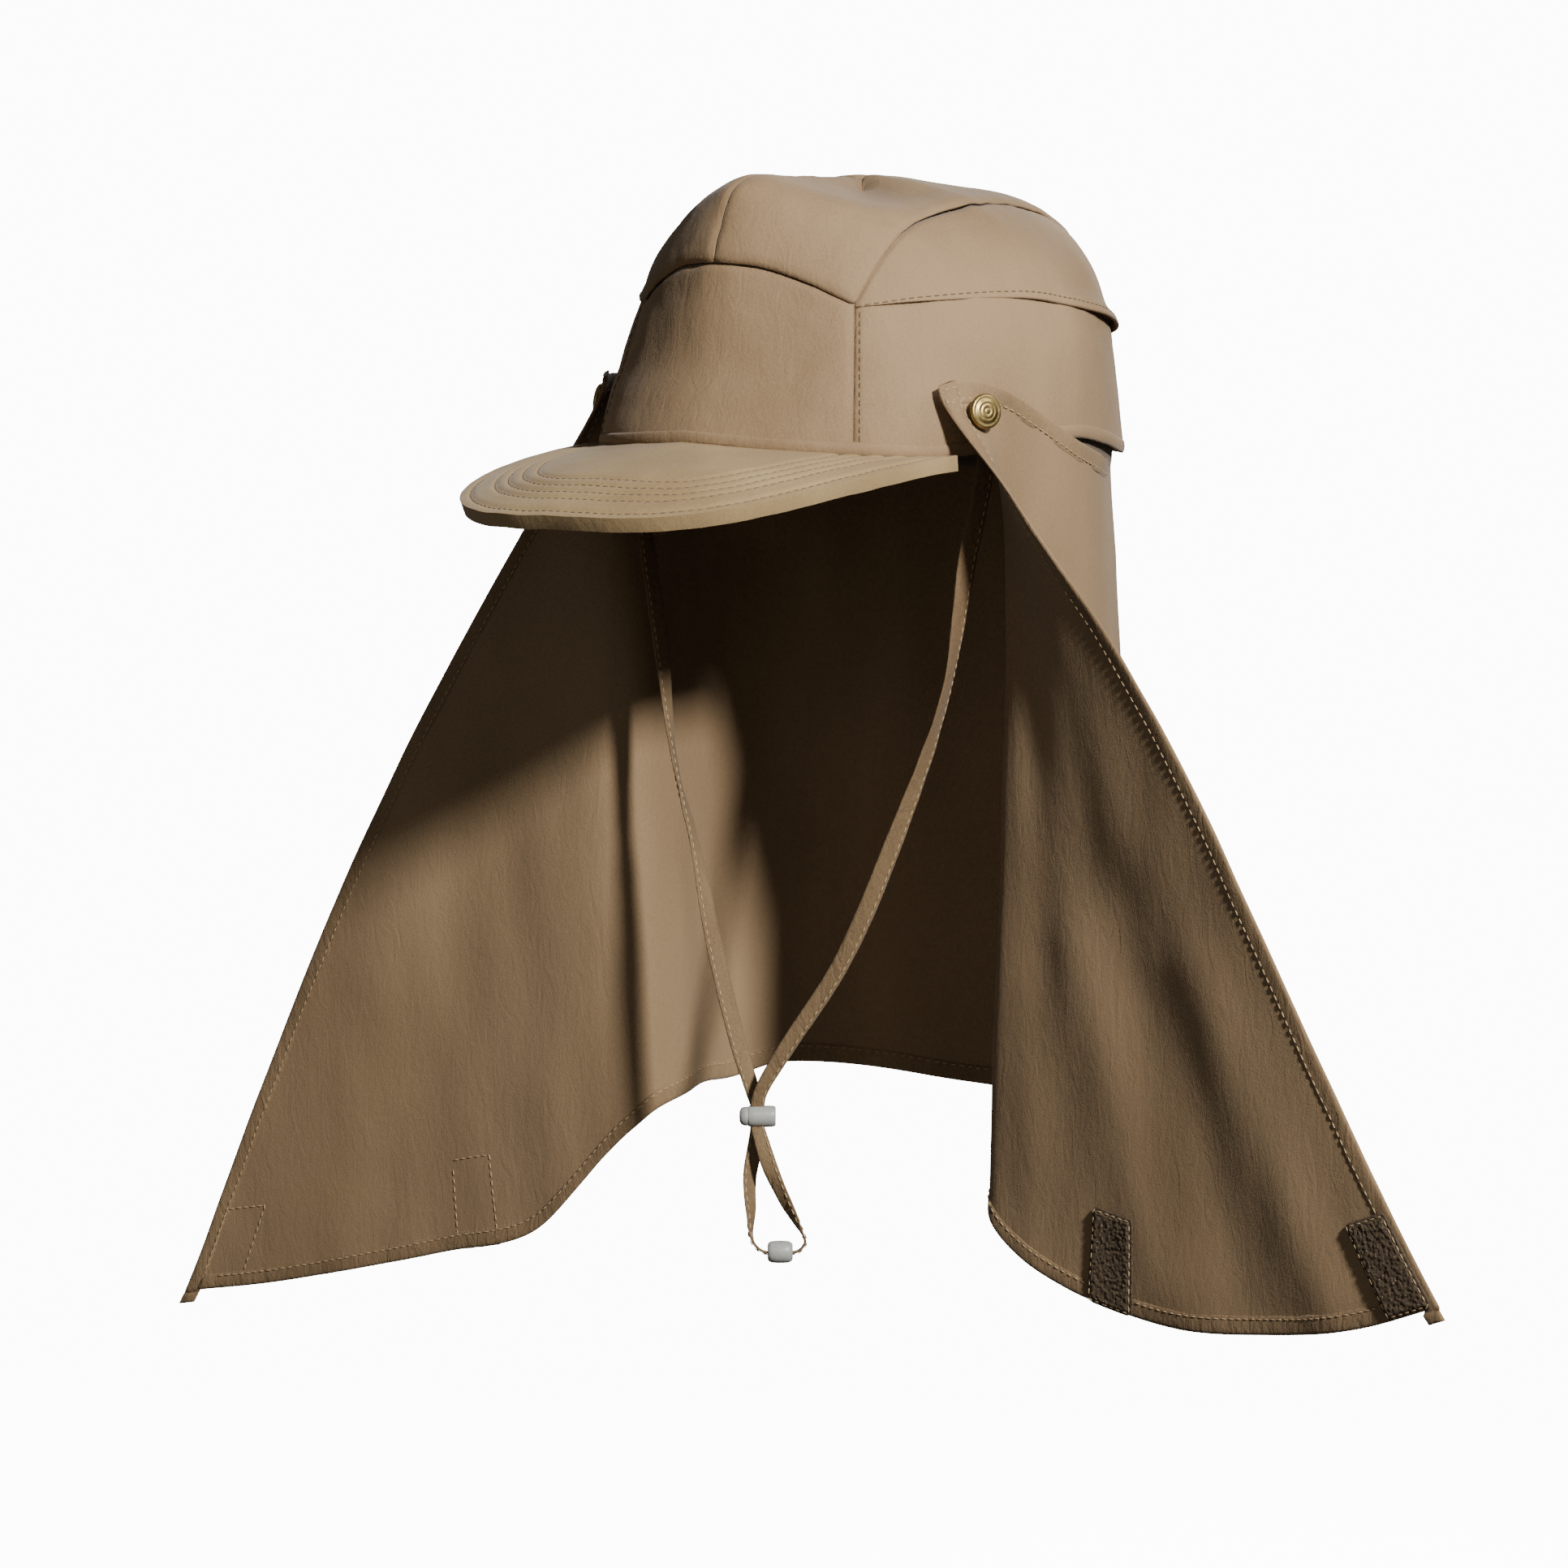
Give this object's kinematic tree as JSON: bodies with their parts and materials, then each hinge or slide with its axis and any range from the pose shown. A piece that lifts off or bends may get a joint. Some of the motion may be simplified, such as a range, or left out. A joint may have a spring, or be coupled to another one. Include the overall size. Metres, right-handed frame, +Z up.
{
  "type": "legionnaire cap",
  "caption": "Cloth cap with a stiff peak, a neck flap snapped at the rim and swung open to both sides, and a chin strap with a cord lock.",
  "frame": {"origin": "centre of the head opening, level with the crown's rim at the temples", "axes": "+Z up; -Y to the front, where the peak points; +X to the wearer's left"},
  "size_m": [0.5672, 0.2784, 0.4241],
  "materials": {
    "crown_cloth": "matte crinkled nylon, khaki brown",
    "peak_cloth": "matte nylon over a stiff board, khaki brown",
    "flap_cloth": "matte crinkled nylon, khaki brown",
    "strap_cloth": "folded nylon ribbon, khaki brown",
    "hook_and_loop": "fuzzy dark grey-brown pile",
    "snap_brass": "antique brass, half polished",
    "grey_plastic": "satin, light grey"
  },
  "bodies": {
    "root": {"front_panel": "crown_cloth", "side_band_left": "crown_cloth", "side_band_right": "crown_cloth", "side_panel_left": "crown_cloth", "side_panel_right": "crown_cloth", "top_panel_left": "crown_cloth", "top_panel_right": "crown_cloth", "peak": "peak_cloth", "flap": "flap_cloth", "flap_edge_left": "flap_cloth", "flap_edge_right": "flap_cloth", "flap_hem": "flap_cloth", "snap_left": "snap_brass", "snap_right": "snap_brass", "loop_patch_front": "hook_and_loop", "loop_patch_rear": "hook_and_loop", "hook_patch_front": "hook_and_loop", "hook_patch_rear": "hook_and_loop", "chin_strap": "strap_cloth", "cord_lock": "grey_plastic", "strap_bead": "grey_plastic"}
  },
  "joints": []
}
